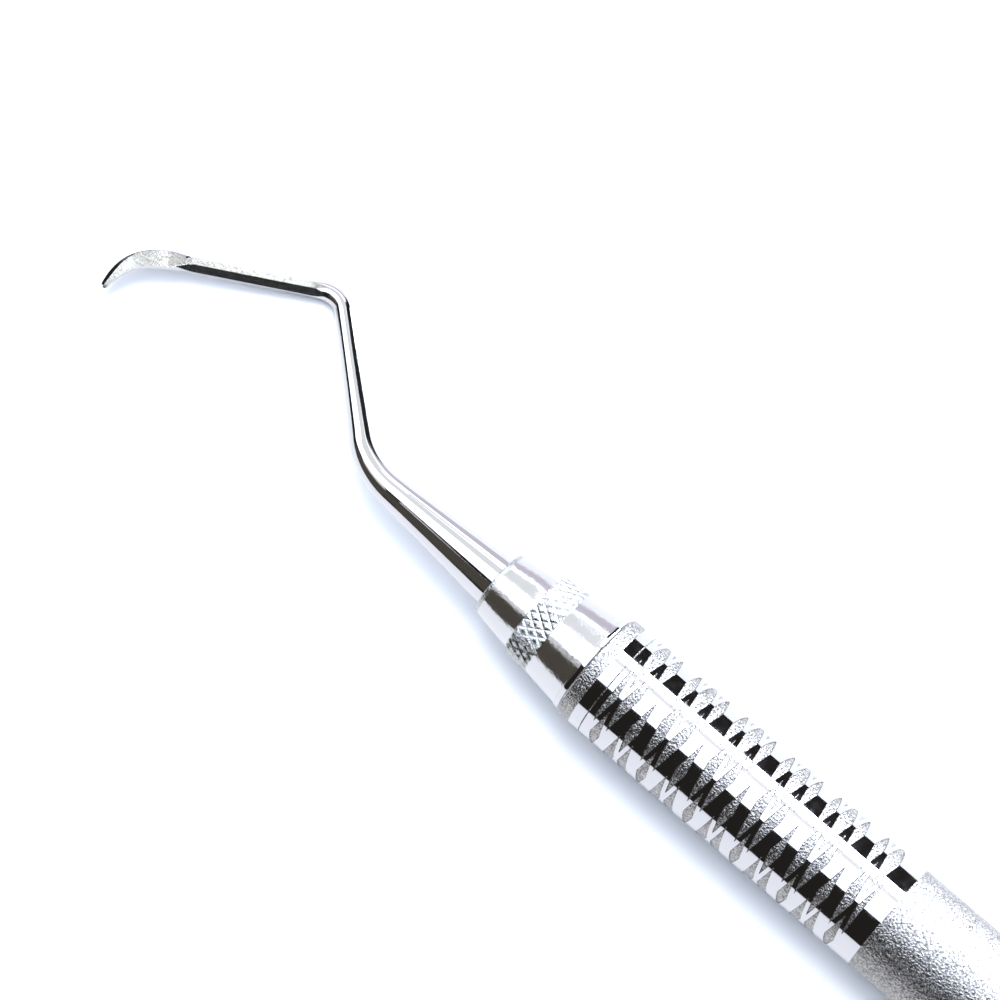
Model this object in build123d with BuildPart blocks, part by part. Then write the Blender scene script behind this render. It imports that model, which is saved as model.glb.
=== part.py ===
"""Double-ended hand scaler: a hollow gripped barrel with a screw-in scaler tip at each end.

Units are millimetres. The barrel lies along X with its middle at the origin, the front end
points along +X, and +Z is up with the instrument lying on a table: the barrel and both
lower elbows of the tips touch the plane at z = -barrel_r. The rear end mirrors the front.
"""
from build123d import *
import os

os.makedirs("parts", exist_ok=True)

# Barrel
barrel_r = 4.75
barrel_wall = 0.8
end_band = 1.3  # blasted band beside each end face
grip_length = 28.7
middle_length = 20.0  # plain band between the two grips
end_chamfer = 0.15

# Threaded connection, M5 x 0.8, shown by its smooth major and minor cylinders
thread_pitch = 0.8
thread_r = 2.45
thread_clearance = 0.05
thread_turns = 8  # full turns from tight to free
neck_r = 2.2
neck_length = 1.4
insert_length = 11.0
pocket_r = 3.35  # counterbore that holds the seal ring
pocket_depth = 1.3
seat_gap = 0.03  # between the collar's shoulder and the barrel's end face

# Seal ring
seal_section_r = 0.5
seal_gap = 0.05

# Collar, as distances from the barrel's end face and radii
land_length = 0.5
land_r = 4.5
rear_cone_r = 4.42
knurl_start = 3.83
knurl_start_r = 3.96
knurl_end = 6.3
knurl_end_r = 3.76
front_cone_r = 3.53
collar_length = 10.15
collar_front_r = 2.87
rim_round = 0.15

# Tip, as distances from the barrel's end face
tang_r = 1.3
tang_length = 8.0
shank_r = 2.28
taper_end = 20.0
taper_end_r = 1.42
elbow_1 = 24.1
elbow_2 = 36.02
elbow_throw = 11.0  # distance of the second elbow from the barrel's axis
resting_roll = 21.8  # turn of the second elbow below the horizontal, in degrees
elbow_1_radius = 7.0
elbow_2_radius = 2.2
elbow_share = 0.6  # place of the second elbow along the bent wire
elbow_wire_r = 0.8  # at the second elbow
narrowing_power = 2.2  # the wire thins fast after the taper and slowly near the second elbow
wire_r = 0.66  # between the second elbow and the blade
step_down_share = 0.12  # share of the bent wire over which it thins to wire_r
blade_root = (47.0, -3.66, -3.2)
blade_point = (50.74, 2.25, -3.35)
blade_root_direction = (0.86, 0.51, 0.13)
blade_point_direction = (-0.12, 0.97, -0.2)
blade_root_width = 1.5
blade_point_width = 0.4
blade_height = 0.7
blade_taper_power = 2.6  # the blade keeps its width, then narrows near the point
hollow_edge_lift = 0.4  # top edges above the centreline, as shares of the height
outer_edge_lift = 0.5

# Worked out from the above
barrel_length = 2 * (end_band + grip_length) + middle_length
end_x = barrel_length / 2
bore_r = barrel_r - barrel_wall
stud_length = thread_pitch * thread_turns


def half_section(points):
    """Face inside a closed outline of (x, radius) points, to be turned about X."""
    with BuildSketch(Plane.XY) as section:
        with BuildLine():
            Polyline(*points, close=True)
        make_face()
    return section.sketch


def finish(piece, name):
    """Label a finished piece and write its STEP file."""
    piece.part.label = name
    export_step(piece.part, f"parts/{name}.step")


# Barrel: a drawn tube; the grips' ridges are flush with its surface
with BuildPart() as barrel:
    with BuildSketch(Plane.YZ.offset(-end_x)):
        Circle(barrel_r)
        Circle(bore_r, mode=Mode.SUBTRACT)
    extrude(amount=barrel_length)
    end_rims = barrel.edges().filter_by(GeomType.CIRCLE).group_by(SortBy.RADIUS)[-1]
    chamfer(end_rims, length=end_chamfer)
finish(barrel, "handle_barrel")


def build_insert():
    """Closed threaded plug, pressed into the barrel's end."""
    floor_x = end_x - stud_length - neck_length
    with BuildPart() as insert:
        outline = [
            (end_x - insert_length, 0),
            (end_x - insert_length, bore_r),
            (end_x, bore_r),
            (end_x, pocket_r),
            (end_x - pocket_depth, pocket_r),
            (end_x - pocket_depth, thread_r + thread_clearance),
            (floor_x, thread_r + thread_clearance),
            (floor_x - thread_r, 0),
        ]
        revolve(half_section(outline), axis=Axis.X)
    return insert


def build_seal():
    """O-ring on the stud's neck, under the collar's shoulder."""
    ring_r = neck_r + seal_gap + seal_section_r
    with BuildPart() as seal:
        with BuildSketch(Plane.XY):
            with Locations((end_x - seal_gap - seal_section_r, ring_r)):
                Circle(seal_section_r)
        revolve(axis=Axis.X)
    return seal


def build_collar():
    """Cone with a knurled finger band, and the threaded stud behind it."""
    shoulder_x = end_x + seat_gap
    with BuildPart() as collar:
        outline = [
            (shoulder_x - stud_length, 0),
            (shoulder_x - stud_length, thread_r - end_chamfer),
            (shoulder_x - stud_length + end_chamfer, thread_r),
            (shoulder_x - neck_length, thread_r),
            (shoulder_x - neck_length, neck_r),
            (shoulder_x, neck_r),
            (shoulder_x, land_r),
            (end_x + land_length, land_r),
            (end_x + land_length, rear_cone_r),
            (end_x + knurl_start, knurl_start_r),
            (end_x + knurl_end, knurl_end_r),
            (end_x + knurl_end, front_cone_r),
            (end_x + collar_length, collar_front_r),
            (end_x + collar_length, tang_r),
            (end_x + collar_length - tang_length, tang_r),
            (end_x + collar_length - tang_length, 0),
        ]
        revolve(half_section(outline), axis=Axis.X)
        front_rim = collar.edges().filter_by(GeomType.CIRCLE).group_by(Axis.X)[-1].sort_by(SortBy.RADIUS)[-1]
        fillet(front_rim, radius=rim_round)
    return collar


def shank_plane(path, distance):
    """Plane across the path, with its x axis level and towards the blade's hollow side."""
    tangent = path.tangent_at(distance, position_mode=PositionMode.LENGTH)
    origin = path.position_at(distance, position_mode=PositionMode.LENGTH)
    return Plane(origin, x_dir=Vector(0, 0, 1).cross(tangent), z_dir=tangent)


def build_tip():
    """Tang, tapered shank with two bends, and the hooked three-sided blade."""
    drop = Vector(0, -elbow_throw, 0).rotate(Axis.X, resting_roll)
    root = Vector(end_x, 0, 0) + Vector(*blade_root)
    point = Vector(end_x, 0, 0) + Vector(*blade_point)
    with BuildLine() as shank_line:
        FilletPolyline(
            (end_x + taper_end, 0, 0),
            (end_x + elbow_1, 0, 0),
            (end_x + elbow_2, drop.Y, drop.Z),
            root,
            radius=[elbow_1_radius, elbow_2_radius],
        )
    with BuildLine() as hook_line:
        Spline(root, point, tangents=[blade_root_direction, blade_point_direction])
    shank_path = shank_line.wires()[0]
    hook_path = hook_line.wires()[0]
    with BuildPart() as tip:
        outline = [
            (end_x + collar_length - tang_length, 0),
            (end_x + collar_length - tang_length, tang_r),
            (end_x + collar_length, tang_r),
            (end_x + collar_length, shank_r),
            (end_x + taper_end, taper_end_r),
            (end_x + taper_end, 0),
        ]
        revolve(half_section(outline), axis=Axis.X)
        stations = 24
        for step in range(stations + 1):
            share = step / stations
            narrowing = min(1, share / elbow_share)
            radius = elbow_wire_r + (taper_end_r - elbow_wire_r) * (1 - narrowing) ** narrowing_power
            radius -= (elbow_wire_r - wire_r) * min(1, max(0, (share - elbow_share) / step_down_share))
            with BuildSketch(shank_plane(shank_path, share * shank_path.length)):
                Circle(radius)
        loft()
        stations = 8
        for step in range(stations + 1):
            share = step / stations
            width = blade_root_width + (blade_point_width - blade_root_width) * share ** blade_taper_power
            height = blade_height * width / blade_root_width
            with BuildSketch(shank_plane(hook_path, share * hook_path.length)):
                with BuildLine():
                    Polyline(
                        (-width / 2, height * hollow_edge_lift),
                        (width / 2, height * outer_edge_lift),
                        (0, -height),
                        close=True,
                    )
                make_face()
        loft()
    return tip


for end_name in ("front", "rear"):
    pieces = {
        "threaded_insert": build_insert(),
        "seal_ring": build_seal(),
        "cone_collar": build_collar(),
        "scaler_tip": build_tip(),
    }
    for piece_name, piece in pieces.items():
        if end_name == "rear":
            with BuildPart() as mirrored:
                add(mirror(piece.part, about=Plane.YZ))
            piece = mirrored
        finish(piece, f"{end_name}_{piece_name}")
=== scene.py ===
"""Looks of the double-ended hand scaler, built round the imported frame.

Lengths below are millimetres in the frame's axes: the handle along X, +Z up, and the table
at the barrel's underside. Each piece is made at the front end and repeated at the rear.
"""
import math

import bmesh
import bpy
from mathutils import Matrix, Vector


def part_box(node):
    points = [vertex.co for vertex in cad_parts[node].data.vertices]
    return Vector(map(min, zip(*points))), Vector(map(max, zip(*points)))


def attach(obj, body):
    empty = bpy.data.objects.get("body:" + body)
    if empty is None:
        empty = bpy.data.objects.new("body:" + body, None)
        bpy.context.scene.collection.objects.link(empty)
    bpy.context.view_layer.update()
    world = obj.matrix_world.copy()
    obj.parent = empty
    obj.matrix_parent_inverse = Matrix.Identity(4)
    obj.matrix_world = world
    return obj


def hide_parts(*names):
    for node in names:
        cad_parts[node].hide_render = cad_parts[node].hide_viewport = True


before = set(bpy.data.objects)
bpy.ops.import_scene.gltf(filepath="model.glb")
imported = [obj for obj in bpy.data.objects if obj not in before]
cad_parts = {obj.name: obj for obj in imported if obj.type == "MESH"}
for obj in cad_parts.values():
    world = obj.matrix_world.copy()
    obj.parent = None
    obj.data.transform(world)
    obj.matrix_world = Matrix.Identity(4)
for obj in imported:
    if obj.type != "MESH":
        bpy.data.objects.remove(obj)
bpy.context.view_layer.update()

MM = 0.001
barrel_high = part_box("handle_barrel")[1] / MM
end_x = barrel_high.x
barrel_r = barrel_high.y
table_z = -barrel_r

# Barrel and its grips
wall = 0.8
end_chamfer = 0.15
end_band = 1.3
grip_length = 28.7
columns = 144  # facets round the barrel
grip_lead = grip_length / 6
pocket_depth = 0.09
pocket_bevel = 0.05
front_ring = 1.57  # polished rings that close the grip
rear_ring = 1.69
slit_x = end_x - end_band - 1.05  # fine groove in the grip's outer ring
slit_half = 0.05
slit_depth = 0.05
ridges = ((0.0, 0.5), (1 / 3, 0.175), (2 / 3, 0.175))  # place along the lead, half width
ridge_turn = math.radians(-39.7)  # where both ridge families line up, from +Z towards +Y
LAND, FACETED, ROUND, RIM, END_FACE, BORE = range(6)  # kinds of face on the barrel's shell

# Threads
thread_pitch = 0.8
thread_r = 2.45
thread_depth = 0.42
thread_rows = 8  # grid rows per turn
internal_gap = 0.06  # internal thread's radius over the stud's
neck_r = 2.2
neck_length = 1.4
stud_length = 6.4
seat_gap = 0.03
insert_length = 11.0
insert_sides = 72
pocket_r = 3.35  # counterbore that holds the seal ring
seal_pocket = 1.3

# Collar, as distances from the barrel's end face
knurl_start, knurl_start_r = 3.83, 3.96
knurl_end, knurl_end_r = 6.3, 3.76
knurl_count = 31
knurl_grid = 8  # grid steps per diamond, both ways
knurl_rows = 16
knurl_depth = 0.09
knurl_inset = 0.04
land_r = 4.5
rim_round = 0.15
collar_length = 10.15
collar_front_r = 2.87
tang_r = 1.3
tang_length = 8.0

# Tip, as distances from the barrel's end face
shank_r = 2.28
taper_end, taper_end_r = 20.0, 1.42
elbow_1, elbow_2 = 24.1, 36.02
elbow_radii = (7.0, 2.2)
elbow_throw = 10.98
resting_roll = math.radians(21.65)
tip_sides = 64
wire_r = 0.785
narrowing_power = 2.2  # the wire thins fast after the taper and slowly near the second elbow
terminal_r = 0.66
step_down = 3.0  # length over which the wire thins to terminal_r
blade_root = Vector((47.0, -3.66, -3.2))
blade_point = Vector((50.74, 2.25, -3.35))
hook_steps = 90
root_pull = Vector((0.86, 0.51, 0.13)) * 8.7  # the hook's direction and reach at its two ends
point_pull = Vector((-0.12, 0.97, -0.2)) * 9.2
blade_swell = 0.14
swell_end = 0.2  # share of the blade
point_r = 0.14
blade_taper_power = 2.6  # the blade keeps its width, then narrows near the point

# Flats ground on the tip: directions in degrees, depths as shares of the radius
flats_from, flats_full = 0.9, 2.4  # distances past the second elbow
top_turn, top_turn_back = 102, 5
top_depth = 0.11
blade_top = 0.4  # the top flat's distance from the blade's centreline
top_blend = (-0.6, 1.6)  # distances past the blade's root
inner_turn, inner_depth = 49, 0.18  # on the hook's hollow side
inner_blend = (-0.9, 1.0)
outer_turn, outer_depth = 125, 0.25
outer_blend = (-0.5, 0.5)
tip_facet_depth = 0.37
tip_facet = (0.45, 0.9)  # shares of the blade


# ---------------------------------------------------------------- materials

def new_material(name, colour, metallic, roughness):
    """Material with its shader set, and texture coordinates in millimetres."""
    made = bpy.data.materials.new(name)
    made.use_nodes = True
    tree = made.node_tree
    shader = tree.nodes["Principled BSDF"]
    shader.inputs["Base Color"].default_value = (*colour, 1)
    shader.inputs["Metallic"].default_value = metallic
    shader.inputs["Roughness"].default_value = roughness
    place = tree.nodes.new("ShaderNodeTexCoord")
    scale = tree.nodes.new("ShaderNodeMapping")
    scale.inputs["Scale"].default_value = (1 / MM, 1 / MM, 1 / MM)
    tree.links.new(place.outputs["Object"], scale.inputs["Vector"])
    return made, tree, shader, scale.outputs["Vector"]


def noise(tree, where, scale, detail=2.0, stretch=(1, 1, 1), rough=0.5):
    """Noise of about `scale` features per millimetre."""
    if stretch != (1, 1, 1):
        squeeze = tree.nodes.new("ShaderNodeMapping")
        squeeze.inputs["Scale"].default_value = stretch
        tree.links.new(where, squeeze.inputs["Vector"])
        where = squeeze.outputs["Vector"]
    grain = tree.nodes.new("ShaderNodeTexNoise")
    grain.inputs["Scale"].default_value = scale
    grain.inputs["Detail"].default_value = detail
    grain.inputs["Roughness"].default_value = rough
    tree.links.new(where, grain.inputs["Vector"])
    return grain.outputs["Fac"]


def spread(tree, value, low, high, at_low=0.3, at_high=0.7):
    """A noise value mapped onto a range."""
    ramp = tree.nodes.new("ShaderNodeMapRange")
    ramp.inputs["From Min"].default_value = at_low
    ramp.inputs["From Max"].default_value = at_high
    ramp.inputs["To Min"].default_value = low
    ramp.inputs["To Max"].default_value = high
    tree.links.new(value, ramp.inputs["Value"])
    return ramp.outputs["Result"]


def tint(tree, value, dark, light):
    """Two colours mixed by a value."""
    mix = tree.nodes.new("ShaderNodeMix")
    mix.data_type = "RGBA"
    mix.inputs["A"].default_value = (*dark, 1)
    mix.inputs["B"].default_value = (*light, 1)
    tree.links.new(value, mix.inputs["Factor"])
    return mix.outputs["Result"]


def bump(tree, shader, layers):
    """Bump layers, each a (height, strength, depth in millimetres)."""
    below = None
    for height, strength, depth in layers:
        step = tree.nodes.new("ShaderNodeBump")
        step.inputs["Strength"].default_value = strength
        step.inputs["Distance"].default_value = depth * MM
        tree.links.new(height, step.inputs["Height"])
        if below is not None:
            tree.links.new(below, step.inputs["Normal"])
        below = step.outputs["Normal"]
    tree.links.new(below, shader.inputs["Normal"])


def blasted_steel():
    """Grit-blasted steel: small bright craters with sharp glints."""
    made, tree, shader, where = new_material("blasted_steel", (0.33, 0.31, 0.285), 1, 0.27)
    grit = noise(tree, where, 5.6, 1.0)
    fine = noise(tree, where, 15.0, 1.0)
    tree.links.new(tint(tree, spread(tree, grit, 0, 1), (0.13, 0.124, 0.122), (0.47, 0.45, 0.43)),
                   shader.inputs["Base Color"])
    tree.links.new(spread(tree, fine, 0.19, 0.3), shader.inputs["Roughness"])
    bump(tree, shader, [(grit, 1.0, 0.092), (fine, 1.0, 0.02)])
    return made


def polished_steel():
    """Mirror polish over faint turning lines round the handle."""
    made, tree, shader, where = new_material("polished_steel", (0.57, 0.56, 0.57), 1, 0.06)
    lines = noise(tree, where, 1.0, 3.0, (14, 0.12, 0.12))
    haze = noise(tree, where, 1.2, 3.0)
    tree.links.new(spread(tree, haze, 0.035, 0.09), shader.inputs["Roughness"])
    bump(tree, shader, [(lines, 0.35, 0.002)])
    return made


def buffed_steel():
    """Collar cones: polished, but with a fine uneven grain left by the buffing wheel."""
    made, tree, shader, where = new_material("buffed_steel", (0.58, 0.57, 0.57), 1, 0.12)
    grain = noise(tree, where, 4.5, 2.0)
    haze = noise(tree, where, 1.2, 3.0)
    tree.links.new(spread(tree, haze, 0.08, 0.15), shader.inputs["Roughness"])
    bump(tree, shader, [(grain, 1.0, 0.012)])
    return made


def knurled_steel():
    """Satin finger band."""
    made, tree, shader, where = new_material("knurled_steel", (0.44, 0.44, 0.43), 1, 0.24)
    grain = noise(tree, where, 5.0, 2.0)
    tree.links.new(spread(tree, grain, 0.2, 0.3), shader.inputs["Roughness"])
    bump(tree, shader, [(grain, 1.0, 0.05)])
    return made


def shank_steel():
    """Mirror polish with long faint buffing lines."""
    made, tree, shader, where = new_material("shank_steel", (0.58, 0.57, 0.57), 1, 0.05)
    haze = noise(tree, where, 0.8, 3.0)
    marks = noise(tree, where, 2.2, 3.0)
    tree.links.new(spread(tree, haze, 0.03, 0.08), shader.inputs["Roughness"])
    bump(tree, shader, [(marks, 0.25, 0.004)])
    return made


def ground_steel():
    """Satin faces left by a grinding wheel, with swirling scratches."""
    made, tree, shader, where = new_material("ground_steel", (0.46, 0.44, 0.39), 1, 0.26)
    swirl = noise(tree, where, 2.8, 4.0, (1, 2.4, 1), 0.7)
    marks = noise(tree, where, 1.0, 2.0, (12, 3, 2))
    tree.links.new(tint(tree, spread(tree, swirl, 0, 1), (0.2, 0.188, 0.165), (0.47, 0.45, 0.4)),
                   shader.inputs["Base Color"])
    tree.links.new(spread(tree, marks, 0.18, 0.32), shader.inputs["Roughness"])
    bump(tree, shader, [(swirl, 0.5, 0.03), (marks, 0.5, 0.008)])
    return made


def honed_steel():
    """Flat that is honed smoother than the ground faces beside it."""
    made, tree, shader, where = new_material("honed_steel", (0.6, 0.63, 0.64), 1, 0.14)
    marks = noise(tree, where, 1.0, 3.0, (5, 5, 1.5))
    tree.links.new(spread(tree, marks, 0.16, 0.26), shader.inputs["Roughness"])
    bump(tree, shader, [(marks, 0.4, 0.006)])
    return made


def turned_steel():
    """Machined threads and bores, with tool lines."""
    made, tree, shader, where = new_material("turned_steel", (0.62, 0.62, 0.61), 1, 0.3)
    lines = noise(tree, where, 1.0, 3.0, (16, 0.3, 0.3))
    stain = noise(tree, where, 0.9, 3.0)
    tree.links.new(tint(tree, spread(tree, stain, 0, 1), (0.52, 0.52, 0.51), (0.68, 0.68, 0.67)),
                   shader.inputs["Base Color"])
    tree.links.new(spread(tree, stain, 0.24, 0.36), shader.inputs["Roughness"])
    bump(tree, shader, [(lines, 0.6, 0.008)])
    return made


def seal_rubber():
    """Black rubber with a faint moulded bloom."""
    made, tree, shader, where = new_material("seal_rubber", (0.022, 0.022, 0.024), 0, 0.55)
    bloom = noise(tree, where, 3.0, 3.0)
    fine = noise(tree, where, 14.0, 2.0)
    colour = tint(tree, spread(tree, bloom, 0, 1), (0.016, 0.016, 0.018), (0.045, 0.045, 0.047))
    tree.links.new(colour, shader.inputs["Base Color"])
    tree.links.new(spread(tree, bloom, 0.45, 0.65), shader.inputs["Roughness"])
    bump(tree, shader, [(fine, 0.4, 0.01)])
    return made


blasted, polished, buffed = blasted_steel(), polished_steel(), buffed_steel()
knurled, shank_polish = knurled_steel(), shank_steel()
ground, honed, turned, rubber = ground_steel(), honed_steel(), turned_steel(), seal_rubber()


# ---------------------------------------------------------------- mesh helpers

def piece(name, points, faces, materials, indices=None, flat=(), sharp=25.0):
    """Mesh object from points in millimetres, with touching points joined."""
    shell = bmesh.new()
    made = [shell.verts.new(Vector(p) * MM) for p in points]
    for number, face in enumerate(faces):
        corners = [made[i] for i in face]
        new = shell.faces.new(corners)
        new.smooth = number not in flat
        new.material_index = 0 if indices is None else indices[number]
    bmesh.ops.remove_doubles(shell, verts=shell.verts[:], dist=0.0004 * MM)
    bmesh.ops.dissolve_degenerate(shell, dist=0.0002 * MM, edges=shell.edges[:])
    bmesh.ops.recalc_face_normals(shell, faces=shell.faces[:])
    mesh = bpy.data.meshes.new(name)
    shell.to_mesh(mesh)
    shell.free()
    for material in materials:
        mesh.materials.append(material)
    mesh.set_sharp_from_angle(angle=math.radians(sharp))
    thing = bpy.data.objects.new(name, mesh)
    bpy.context.scene.collection.objects.link(thing)
    return thing


def ring_point(x, radius, share):
    """Point at a share of a turn round the X axis, from +Z towards +Y."""
    turn = math.tau * share
    return (x, radius * math.sin(turn), radius * math.cos(turn))


def lathe(profile, count):
    """Points and faces of an open (x, radius) profile turned about X."""
    points = [ring_point(x, r, j / count) for x, r in profile for j in range(count)]
    faces = []
    for i in range(len(profile) - 1):
        for j in range(count):
            a, b = i * count + j, i * count + (j + 1) % count
            faces.append((a, b, b + count, a + count))
    return points, faces


def join(*parts):
    """Several (points, faces) lists as one."""
    points, faces = [], []
    for more_points, more_faces in parts:
        start = len(points)
        points += more_points
        faces += [tuple(i + start for i in face) for face in more_faces]
    return points, faces


def arc(x, r, radius, start, stop, steps=6):
    """Profile points of a rounded corner centred on (x, r), angles in degrees from +X."""
    out = []
    for k in range(steps + 1):
        turn = math.radians(start + (stop - start) * k / steps)
        out.append((x + radius * math.cos(turn), r + radius * math.sin(turn)))
    return out


def turn_round(points):
    """The same points at the rear end, turned half way about Z."""
    return [(-x, -y, z) for x, y, z in points]


def mirror_round(points):
    """The same points at the rear end, mirrored."""
    return [(-x, y, z) for x, y, z in points]


# ---------------------------------------------------------------- barrel

def pocket_share(x, share, zone):
    """How far down a pocket a point of the grip is: 0 on a ridge, 1 on the floor."""
    along = (x - (end_x - end_band)) / grip_lead
    down = min(x - zone[0], zone[1] - x) / pocket_bevel
    for place in (along - share, along + share):
        for centre, half in ridges:
            gap = abs((place - centre + 0.5) % 1 - 0.5) * grip_lead
            down = min(down, (gap - half) / pocket_bevel)
    return min(1.0, max(0.0, down))


def grip_sheet():
    """Unrolled front half of the barrel's surface, cut along every ridge edge."""
    round_length = math.tau * barrel_r
    zone = (end_x - end_band - grip_length + rear_ring, end_x - end_band - front_ring)
    slit_rows = [slit_x - slit_half, slit_x, slit_x + slit_half]
    rows = [end_x - end_band - grip_length, *zone, *slit_rows,
            end_x - end_band, end_x - end_chamfer]
    sheet = bmesh.new()
    grid = [[sheet.verts.new((x, j / columns * round_length, 0)) for j in range(columns + 1)]
            for x in rows]
    for i in range(len(rows) - 1):
        for j in range(columns):
            sheet.faces.new((grid[i][j], grid[i + 1][j], grid[i + 1][j + 1], grid[i][j + 1]))

    def cut(x, lean):
        """Cut the zone's faces along a line through x at the seam."""
        inside = [f for f in sheet.faces
                  if zone[0] - 1e-4 < f.calc_center_median().x < zone[1] + 1e-4]
        parts = set(inside)
        for f in inside:
            parts.update(f.edges)
            parts.update(f.verts)
        bmesh.ops.bisect_plane(sheet, geom=list(parts), dist=1e-5, plane_co=(x, 0, 0),
                               plane_no=(1, lean * grip_lead / round_length, 0))

    for x in (zone[0] + pocket_bevel, zone[1] - pocket_bevel):
        cut(x, 0)
    offsets = []
    for centre, half in ridges:
        for edge in (half, half + pocket_bevel):
            offsets += [centre * grip_lead - edge, centre * grip_lead + edge]
    for lean in (1, -1):
        for lead in range(-9, 3):
            for offset in offsets:
                x = end_x - end_band + lead * grip_lead + offset
                reach = sorted((x, x - lean * grip_lead))
                if reach[0] < zone[1] and reach[1] > zone[0]:
                    cut(x, lean)
    return sheet, zone, round_length


def build_barrel():
    """Blasted tube with polished criss-cross ridges, as one closed shell."""
    sheet, zone, round_length = grip_sheet()
    seam = ridge_turn / math.tau
    points, faces, kinds = [], [], []
    for side in (1, -1):
        start = len(points)
        sheet.verts.index_update()
        for v in sheet.verts:
            share = v.co.y / round_length
            inside = zone[0] < v.co.x < zone[1]
            down = pocket_share(v.co.x, share, zone) if inside else 0.0
            groove = slit_depth if abs(v.co.x - slit_x) < 1e-4 else 0.0
            x, y, z = ring_point(v.co.x, barrel_r - down * pocket_depth - groove, share + seam)
            points.append((side * x, y, z))
        for f in sheet.faces:
            middle = f.calc_center_median()
            levels = [0.0] * len(f.verts)
            if zone[0] < middle.x < zone[1]:
                levels = [pocket_share(v.co.x, v.co.y / round_length, zone) for v in f.verts]
            if max(levels) < 0.02:
                blasted_band = middle.x > end_x - end_band
                in_slit = abs(middle.x - slit_x) < slit_half
                kind = ROUND if blasted_band else FACETED if in_slit else LAND
            elif min(levels) > 0.98:
                kind = ROUND
            else:
                kind = FACETED
            faces.append(tuple(start + v.index for v in f.verts))
            kinds.append(kind)
    sheet.free()

    def add_rows(profile, kind):
        """Add a turned profile, with its columns lined up with the grip's."""
        start = len(points)
        more_points, more_faces = lathe(profile, columns)
        for x, y, z in more_points:
            points.append((x, y * math.cos(ridge_turn) + z * math.sin(ridge_turn),
                           z * math.cos(ridge_turn) - y * math.sin(ridge_turn)))
        faces.extend(tuple(i + start for i in face) for face in more_faces)
        kinds.extend([kind] * len(more_faces))

    inner_x = end_x - end_band - grip_length
    rim_r, bore_r = barrel_r - end_chamfer, barrel_r - wall
    add_rows([(-inner_x, barrel_r), (0, barrel_r), (inner_x, barrel_r)], ROUND)
    for side in (1, -1):
        add_rows([(side * (end_x - end_chamfer), barrel_r), (side * end_x, rim_r)], RIM)
        add_rows([(side * end_x, rim_r), (side * end_x, bore_r)], END_FACE)
    add_rows([(-end_x, bore_r), (0, bore_r), (end_x, bore_r)], BORE)

    shell = bmesh.new()
    made = [shell.verts.new(Vector(p) * MM) for p in points]
    kind_layer = shell.faces.layers.int.new("kind")
    for face, kind in zip(faces, kinds):
        new = shell.faces.new([made[i] for i in face])
        new[kind_layer] = kind
        new.smooth = True
        new.material_index = 0 if kind == LAND else 1
    bmesh.ops.remove_doubles(shell, verts=shell.verts[:], dist=0.0005 * MM)
    bmesh.ops.recalc_face_normals(shell, faces=shell.faces[:])
    shell.normal_update()
    normals = []
    for f in shell.faces:
        kind = f[kind_layer]
        for v in f.verts:
            out = Vector((0, v.co.y, v.co.z)).normalized()
            if kind in (LAND, ROUND):
                normals.append(out)
            elif kind == RIM:
                normals.append((out + Vector((math.copysign(1, f.normal.x), 0, 0))).normalized())
            elif kind == BORE:
                normals.append(-out)
            else:
                normals.append(f.normal.copy())
    mesh = bpy.data.meshes.new("barrel_shell")
    shell.to_mesh(mesh)
    shell.free()
    mesh.materials.append(polished)
    mesh.materials.append(blasted)
    mesh.normals_split_custom_set([tuple(n) for n in normals])
    thing = bpy.data.objects.new("barrel_shell", mesh)
    bpy.context.scene.collection.objects.link(thing)
    return thing


# ---------------------------------------------------------------- threads, insert and collar

def thread(first, last, offset, count):
    """Right-hand thread between two places; its end rings lie at the root radius."""
    root = thread_r - thread_depth
    low = math.floor((first - end_x) / thread_pitch - 1) * thread_rows
    high = math.ceil((last - end_x) / thread_pitch) * thread_rows
    points, faces = [], []
    for i in range(low, high + 1):
        shape = max(0.0, min(1.0, 1.6 - 4.0 * abs(i / thread_rows % 1 - 0.5)))
        for j in range(count + 1):
            x = min(max(end_x + thread_pitch * (i / thread_rows + j / count), first), last)
            fade = max(0.0, min(1.0, (x - first) / 0.5, (last - x) / 0.35))
            points.append(ring_point(x, root + thread_depth * shape * fade + offset, -j / count))
    wide = count + 1
    for i in range(high - low):
        for j in range(count):
            face = (i * wide + j, i * wide + j + 1, (i + 1) * wide + j + 1, (i + 1) * wide + j)
            if len({tuple(round(c, 4) for c in points[k]) for k in face}) > 2:
                faces.append(face)
    return points, faces


def build_insert():
    """Plug with a counterbore for the seal ring and an internal thread."""
    floor_x, deep = end_x - insert_length, end_x - stud_length - neck_length
    root = thread_r - thread_depth + internal_gap
    mouth = end_x - seal_pocket
    lead_in = mouth - 0.12
    outer = [(floor_x, 0), (floor_x, barrel_r - wall - 0.3),
             (floor_x + 0.3, barrel_r - wall - 0.01),
             (end_x - 0.05, barrel_r - wall - 0.01), (end_x, barrel_r - wall - 0.06),
             (end_x, pocket_r + 0.05), (end_x - 0.05, pocket_r), (mouth, pocket_r),
             (mouth, thread_r + 0.15), (lead_in, root)]
    inner = [(deep, root), (deep - 2.0, 0)]
    return join(lathe(outer, insert_sides), thread(deep, lead_in, internal_gap, insert_sides),
                lathe(inner, insert_sides))


def knurl_height(i, j):
    """Height of the knurled band's surface at its grid, 0 in a groove and 1 on a flat."""
    across = [abs((k / knurl_grid + 0.5) % 1 - 0.5) for k in (i + j, i - j)]
    return min(1.0, min(across) / 0.25)


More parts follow.
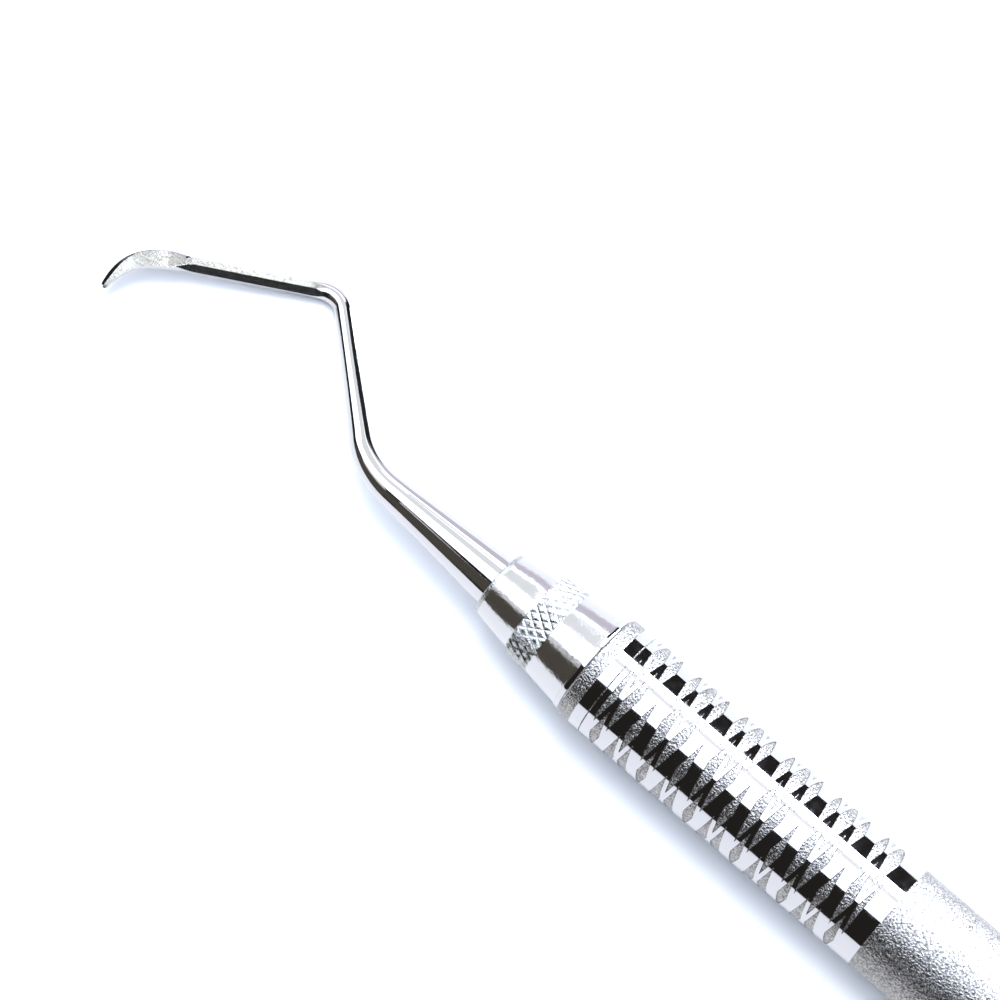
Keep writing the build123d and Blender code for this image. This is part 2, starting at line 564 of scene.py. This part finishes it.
def build_collar():
    """Cone collar with a diamond-knurled band, a rolled rim and a threaded stud."""
    count = knurl_count * knurl_grid
    rows = knurl_rows
    shoulder = end_x + seat_gap
    band_length = knurl_end - knurl_start - 2 * knurl_inset
    band_x = [end_x + knurl_start + knurl_inset + band_length * i / rows for i in range(rows + 1)]
    land = [(shoulder, neck_r), (shoulder, 4.44), (shoulder + 0.02, 4.485),
            (shoulder + 0.06, land_r), (end_x + 0.46, land_r), (end_x + 0.5, 4.485)]
    rear_cone = [(end_x + 0.53, 4.416), (end_x + 1.6, 4.269), (end_x + 2.7, 4.119),
                 (end_x + 3.73, 3.977), (end_x + knurl_start, 3.945)]
    first_band = len(land + rear_cone)
    ring_rows = [[(x, r)] * count for x, r in land + rear_cone]
    for i, x in enumerate(band_x):
        top = knurl_start_r + (knurl_end_r - knurl_start_r) * i / rows
        row = []
        for j in range(count):
            height = knurl_height(i, j)
            if i == rows:
                height = min(height, 0.45)
            row.append((x, top - knurl_depth * (1 - height)))
        ring_rows.append(row)
    rim = arc(end_x + collar_length - rim_round, collar_front_r - rim_round, rim_round, 80, 0)
    cone = [(end_x + knurl_end, 3.54), (end_x + knurl_end + 0.04, 3.52),
            (end_x + 7.5, 3.322), (end_x + 8.7, 3.114), (end_x + 9.75, 2.932)]
    front = cone + rim + [(end_x + collar_length, 2.4),
                          (end_x + collar_length, tang_r),
                          (end_x + collar_length - tang_length, tang_r),
                          (end_x + collar_length - tang_length, 0)]
    ring_rows += [[(x, r)] * count for x, r in front]
    points, faces = [], []
    for row in ring_rows:
        points += [ring_point(x, r, j / count) for j, (x, r) in enumerate(row)]
    flat = set()
    for i in range(len(ring_rows) - 1):
        for j in range(count):
            a, b = i * count + j, i * count + (j + 1) % count
            d, c = a + count, b + count
            if first_band <= i < first_band + rows:
                low = i - first_band
                across = (low - j) % knurl_grid
                rising = across != 0 and ((low + j + 1) % knurl_grid == 0 or across not in (3, 5))
                for triangle in ((a, b, d), (b, c, d)) if rising else ((a, b, c), (a, c, d)):
                    flat.add(len(faces))
                    faces.append(triangle)
            else:
                faces.append((a, b, c, d))
    outside = len(faces)
    root = thread_r - thread_depth
    stud_end, neck_x = shoulder - stud_length, shoulder - neck_length
    stud = join(
        lathe([(stud_end, 0), (stud_end, root - 0.25), (stud_end + 0.25, root)], count),
        thread(stud_end + 0.25, neck_x, 0.0, count),
        lathe([(neck_x, root), (neck_x + 0.1, root), (neck_x + 0.2, neck_r), (shoulder, neck_r)],
              count),
    )
    points, faces = join((points, faces), stud)
    # Material slots: 0 polished land, 1 turned stud, 2 buffed cones, 3 satin band, rim and bore
    indices = [3] * outside + [1] * (len(faces) - outside)
    indices[:len(land) * count] = [0] * (len(land) * count)
    for i in [*range(len(land), first_band), *range(first_band + rows, first_band + rows + 5)]:
        start = i * count if i < first_band else (i + rows) * count  # two triangles per cell
        indices[start:start + count] = [2] * count
    return points, faces, indices, flat


# ---------------------------------------------------------------- tip

def rounded_path(corners, radii, step=0.1):
    """Closely spaced points along a bent line with rounded corners."""
    path = [corners[0]]
    for before, corner, after, radius in zip(corners, corners[1:], corners[2:], radii):
        come, go = (corner - before).normalized(), (after - corner).normalized()
        half = math.acos(max(-1, min(1, come.dot(go)))) / 2
        tangent = radius * math.tan(half)
        start, finish = corner - come * tangent, corner + go * tangent
        inward = (go - come).normalized()
        centre = corner + inward * (radius / math.cos(half))
        steps = max(4, int(2 * half * radius / step))
        path.append(start)
        for k in range(1, steps):
            spin = Matrix.Rotation(2 * half * k / steps, 3, come.cross(go).normalized())
            path.append(centre + spin @ (start - centre))
        path.append(finish)
    path.append(corners[-1])
    even = []
    for a, b in zip(path, path[1:]):
        steps = max(1, round((b - a).length / step))
        even += [a.lerp(b, k / steps) for k in range(steps)]
    even.append(path[-1])
    return even


def hook_points():
    """The blade's centreline: one smooth hook from its root to its point."""
    start = Vector((end_x, 0, 0)) + blade_root
    finish = Vector((end_x, 0, 0)) + blade_point
    out = []
    for k in range(1, hook_steps + 1):
        t = k / hook_steps
        out.append((2 * t ** 3 - 3 * t ** 2 + 1) * start + (t ** 3 - 2 * t ** 2 + t) * root_pull
                   + (3 * t ** 2 - 2 * t ** 3) * finish + (t ** 3 - t ** 2) * point_pull)
    return out


def ease(value, low, high):
    """0 below low, 1 above high, smooth between."""
    t = min(1.0, max(0.0, (value - low) / (high - low)))
    return t * t * (3 - 2 * t)


def section(radius, flats, count):
    """Radii and turns of a round wire's section with flats cut on it, and each side's flat."""
    turns = [math.tau * k / count for k in range(count)]
    marks = []
    for normal, distance in flats:
        if distance < radius:
            spread_half = math.acos(distance / radius)
            marks += [normal - spread_half, normal + spread_half]
    for (n1, d1) in flats:
        for (n2, d2) in flats:
            if n1 < n2 and d1 < radius and d2 < radius:
                corner = math.atan2(d1 * math.cos(n2) - d2 * math.cos(n1),
                                    d2 * math.sin(n1) - d1 * math.sin(n2))
                marks.append(corner if math.cos(corner - n1) > 0 else corner + math.pi)

    def reach(turn):
        """Distance to the surface in a direction, and the number of the flat there."""
        best, which = radius, 0
        for number, (normal, distance) in enumerate(flats, 1):
            lean = math.cos(turn - normal)
            if lean > 1e-3 and distance / lean < best - 1e-9:
                best, which = distance / lean, number
        return best, which
    for mark in marks:
        k = round((mark % math.tau) / math.tau * count) % count
        turns[k] = mark
    radii = [reach(t)[0] for t in turns]
    sides = []
    for k in range(count):
        a, b = turns[k], turns[(k + 1) % count]
        gap = (b - a + math.pi) % math.tau - math.pi
        sides.append(reach(a + gap / 2)[1])
    return turns, radii, sides


def cut_flats(radius, at, elbow_at, past, share):
    """Directions and distances of the flats at one place along the tip."""
    started = ease(at, elbow_at + flats_from, elbow_at + flats_full)
    on_blade = ease(past, *top_blend)
    top = radius * (1 - top_depth * started)
    top += (radius * blade_top - top) * on_blade
    inner = 1 - inner_depth * started * (1 - ease(past, *inner_blend))
    facet = tip_facet_depth * ease(share, *tip_facet)
    outer = 1 - outer_depth * ease(past, *outer_blend) - facet
    return [(math.radians(top_turn - top_turn_back * on_blade), top),
            (math.radians(inner_turn), radius * inner),
            (math.radians(outer_turn), radius * outer)]


def build_tip():
    """Tapered and twice-bent shank, ground flats, and the hooked blade."""
    count = tip_sides
    face_x = end_x + collar_length
    barrel_end = Vector((end_x, 0, 0))
    drop = Vector((0, -elbow_throw * math.cos(resting_roll), -elbow_throw * math.sin(resting_roll)))
    corners = [Vector((face_x, 0, 0)), Vector((end_x + elbow_1, 0, 0)),
               Vector((end_x + elbow_2, 0, 0)) + drop, barrel_end + blade_root]
    path = rounded_path(corners, elbow_radii) + hook_points()
    lengths = [0.0]
    for a, b in zip(path, path[1:]):
        lengths.append(lengths[-1] + (b - a).length)
    root_at, end_at = lengths[-hook_steps - 1], lengths[-1]
    bend_at = min(range(len(path)), key=lambda k: (path[k] - corners[2]).length)
    elbow_at = lengths[bend_at]
    taper = taper_end - collar_length
    points, faces, indices = [], [], []
    tang = [(face_x - tang_length, 0), (face_x - tang_length, tang_r - 0.02),
            (face_x - 0.01, tang_r - 0.02), (face_x - 0.01, shank_r)]
    for x, r in tang:
        points += [(x, r * math.cos(math.tau * k / count), r * math.sin(math.tau * k / count))
                   for k in range(count)]
    side_rows = [[0] * count for _ in tang]
    closing = {len(path) - 2: 0.85, len(path) - 1: 0.45}  # rounds off the blade's point
    for number, centre in enumerate(path):
        at = lengths[number]
        ahead = path[min(number + 1, len(path) - 1)] - path[max(number - 1, 0)]
        tangent = ahead.normalized()
        level = Vector((0, 0, 1)).cross(tangent).normalized()
        up = tangent.cross(level)
        if at <= taper:
            radius = shank_r + (taper_end_r - shank_r) * at / taper
        else:
            narrowing = min(1.0, (at - taper) / (elbow_at - taper))
            thinned = 1 - (1 - narrowing) ** narrowing_power
            radius = taper_end_r + (wire_r - taper_end_r) * thinned
        radius += (terminal_r - wire_r) * ease(at, elbow_at, elbow_at + step_down)
        past = at - root_at
        share = max(0.0, past / (end_at - root_at))
        if past > 0:
            radius = (terminal_r + blade_swell * ease(share, 0, swell_end)
                      + (point_r - terminal_r) * share ** blade_taper_power)
        flats = []
        if at > elbow_at + flats_from:
            flats = cut_flats(radius, at, elbow_at, past, share)
        turns, radii, sides = section(radius, flats, count)
        shrink = closing.get(number, 1.0)
        for turn, reach in zip(turns, radii):
            across = (level * math.cos(turn) + up * math.sin(turn)) * reach * shrink
            points.append(tuple(centre + across))
        side_rows.append(sides)
    points.append(tuple(path[-1]))
    slot_of_side = (0, 1, 2, 0)  # round wire, top flat, inner flat, outer flat
    rows = len(side_rows)
    for i in range(rows - 1):
        for k in range(count):
            a, b = i * count + k, i * count + (k + 1) % count
            faces.append((a, b, b + count, a + count))
            side = side_rows[i][k] if side_rows[i][k] == side_rows[i + 1][k] else 0
            indices.append(slot_of_side[side])
    last = (rows - 1) * count
    for k in range(count):
        faces.append((last + k, last + (k + 1) % count, len(points) - 1))
        indices.append(0)
    return points, faces, indices


# ---------------------------------------------------------------- pieces on the frame

def settle(thing, body, slot, *nodes):
    """Put a finished piece on its body, in place of its CAD nodes."""
    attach(thing, body)
    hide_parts(*nodes)


settle(build_barrel(), "handle", "barrel_steel", "handle_barrel")
insert_points, insert_faces = build_insert()
collar_points, collar_faces, collar_indices, collar_flat = build_collar()
tip_points, tip_faces, tip_indices = build_tip()
for end, turned_end, mirrored_end in (("front", list, list), ("rear", turn_round, mirror_round)):
    insert = piece(f"{end}_insert_plug", turned_end(insert_points), insert_faces, [turned])
    settle(insert, "handle", "turned_steel", f"{end}_threaded_insert")
    collar = piece(f"{end}_collar_cone", turned_end(collar_points), collar_faces,
                   [polished, turned, buffed, knurled], collar_indices, collar_flat)
    settle(collar, f"{end}_end", "polished_steel", f"{end}_cone_collar")
    tip = piece(f"{end}_tip_blade", mirrored_end(tip_points), tip_faces,
                [shank_polish, ground, honed], tip_indices, sharp=14.0)
    settle(tip, f"{end}_end", "tip_steel", f"{end}_scaler_tip")
    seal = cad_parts[f"{end}_seal_ring"]
    seal.data.materials.clear()
    seal.data.materials.append(rubber)


# ---------------------------------------------------------------- floor, light and camera

def build_floor():
    """Wide pale table top, just under the instrument."""
    made, tree, shader, where = new_material("pale_table", (0.86, 0.87, 0.88), 0, 0.6)
    soft = noise(tree, where, 0.02, 2.0)
    tree.links.new(tint(tree, spread(tree, soft, 0, 1), (0.855, 0.86, 0.875), (0.87, 0.875, 0.89)),
                   shader.inputs["Base Color"])
    shader.inputs["Specular IOR Level"].default_value = 0.2
    mesh = bpy.data.meshes.new("table_top")
    wide = 6.0
    mesh.from_pydata([(-wide, -wide, 0), (wide, -wide, 0), (wide, wide, 0), (-wide, wide, 0)],
                     [], [(0, 1, 2, 3)])
    mesh.materials.append(made)
    floor = bpy.data.objects.new("table_top", mesh)
    floor.location.z = (table_z - 0.002) * MM
    bpy.context.scene.collection.objects.link(floor)


def add_panel(name, centre, aim, width, depth, radiance, colour):
    """Soft box shining along `aim`, as bright as `radiance` when seen in a mirror."""
    lamp = bpy.data.lights.new(name, "AREA")
    lamp.shape = "RECTANGLE"
    lamp.size, lamp.size_y = width, depth
    lamp.energy = radiance * math.pi * width * depth
    lamp.color = colour
    thing = bpy.data.objects.new(name, lamp)
    thing.location = centre
    thing.rotation_mode = "QUATERNION"
    thing.rotation_quaternion = Vector(aim).to_track_quat("-Z", "Y")
    thing.visible_camera = False
    bpy.context.scene.collection.objects.link(thing)
    return thing


build_floor()
height = 1.5  # of the overhead panels, in metres; their edges below are in multiples of it
side_distance = 2
down = (0, 0, -1)
white, grey = 3.4, 1.22
cool, neutral, lavender = (0.85, 0.94, 1.1), (0.96, 1.0, 1.05), (0.94, 0.9, 1.06)
for name, back_x, front_x, far_y, near_y, radiance, colour in (
        ("overhead_main", -0.5, 0.3, -0.38, 0.48, white, cool),
        ("overhead_line", -0.5, 0.3, -0.57, -0.38, 1.45, neutral),
        ("overhead_front", 0.3, 2.7, -0.3, 0.45, white, cool),
        ("overhead_grey", 0.3, 0.95, -0.9, -0.3, grey, neutral),
        ("overhead_side", 0.95, 2.6, -0.9, -0.3, white, cool),
        ("overhead_streak", 0.3, 0.5, -1.3, -0.9, white, cool),
        ("overhead_far_grey", 0.5, 1.1, -1.4, -0.9, grey, neutral),
        ("overhead_corner", 1.1, 2.2, -1.4, -0.9, white, cool),
        ("overhead_far_front", 0.5, 2.2, -2.1, -1.4, white, cool),
        ("overhead_near_edge", 0.45, 1.4, 0.45, 0.76, 0.9, neutral),
        ("overhead_far", -0.5, 0.3, -1.08, -0.57, 20.0, cool)):
    middle = ((back_x + front_x) / 2 * height, (far_y + near_y) / 2 * height, height)
    panel = add_panel(name, middle, down, (front_x - back_x) * height,
                      (near_y - far_y) * height, radiance, colour)
panel.visible_diffuse = False  # overhead_far only shows as a reflection
for name, turn, width, top, radiance, colour in (
        ("far_side_panel", -62, 1.3, 0.9, 0.95, lavender),
        ("near_side_panel", 46, 1.95, 2.4, 0.07, (1.1, 1.0, 0.84)),
        ("far_back_panel", -119, 1.7, 2.2, 25.0, cool)):
    towards = Vector((math.cos(math.radians(turn)), math.sin(math.radians(turn)), 0))
    middle = towards * side_distance + Vector((0, 0, top / 2))
    panel = add_panel(name, middle, -towards, width, top, radiance, colour)
panel.visible_diffuse = False  # so does far_back_panel

sun = bpy.data.objects.new("high_lamp", bpy.data.lights.new("high_lamp", "SUN"))
sun.data.energy = 1.6
sun.data.angle = math.radians(25)
sun.data.color = (1.0, 0.93, 0.8)
sun.rotation_mode = "QUATERNION"
sun.rotation_quaternion = Vector((-0.66 * 0.37, 0.75 * 0.37, -0.93)).to_track_quat("-Z", "Y")
sun.visible_glossy = False
bpy.context.scene.collection.objects.link(sun)

world = bpy.data.worlds.new("dark_studio")
world.use_nodes = True
world.node_tree.nodes["Background"].inputs["Color"].default_value = (0.024, 0.022, 0.02, 1)
bpy.context.scene.world = world

camera = bpy.data.objects.new("camera", bpy.data.cameras.new("camera"))
camera.data.sensor_width = 36
camera.data.lens = 160.92
camera.data.clip_start, camera.data.clip_end = 0.01, 20
target = Vector((54.451, -5.08, 0)) * MM
azimuth, elevation = math.radians(131.37), math.radians(76.4)
back = Vector((math.cos(azimuth) * math.cos(elevation), math.sin(azimuth) * math.cos(elevation),
               math.sin(elevation)))
camera_distance = 0.353527
camera.location = target + back * camera_distance
camera.rotation_mode = "QUATERNION"
camera.rotation_quaternion = (-back).to_track_quat("-Z", "Y")
bpy.context.scene.collection.objects.link(camera)
bpy.context.scene.camera = camera
bpy.context.scene.view_settings.view_transform = "Standard"
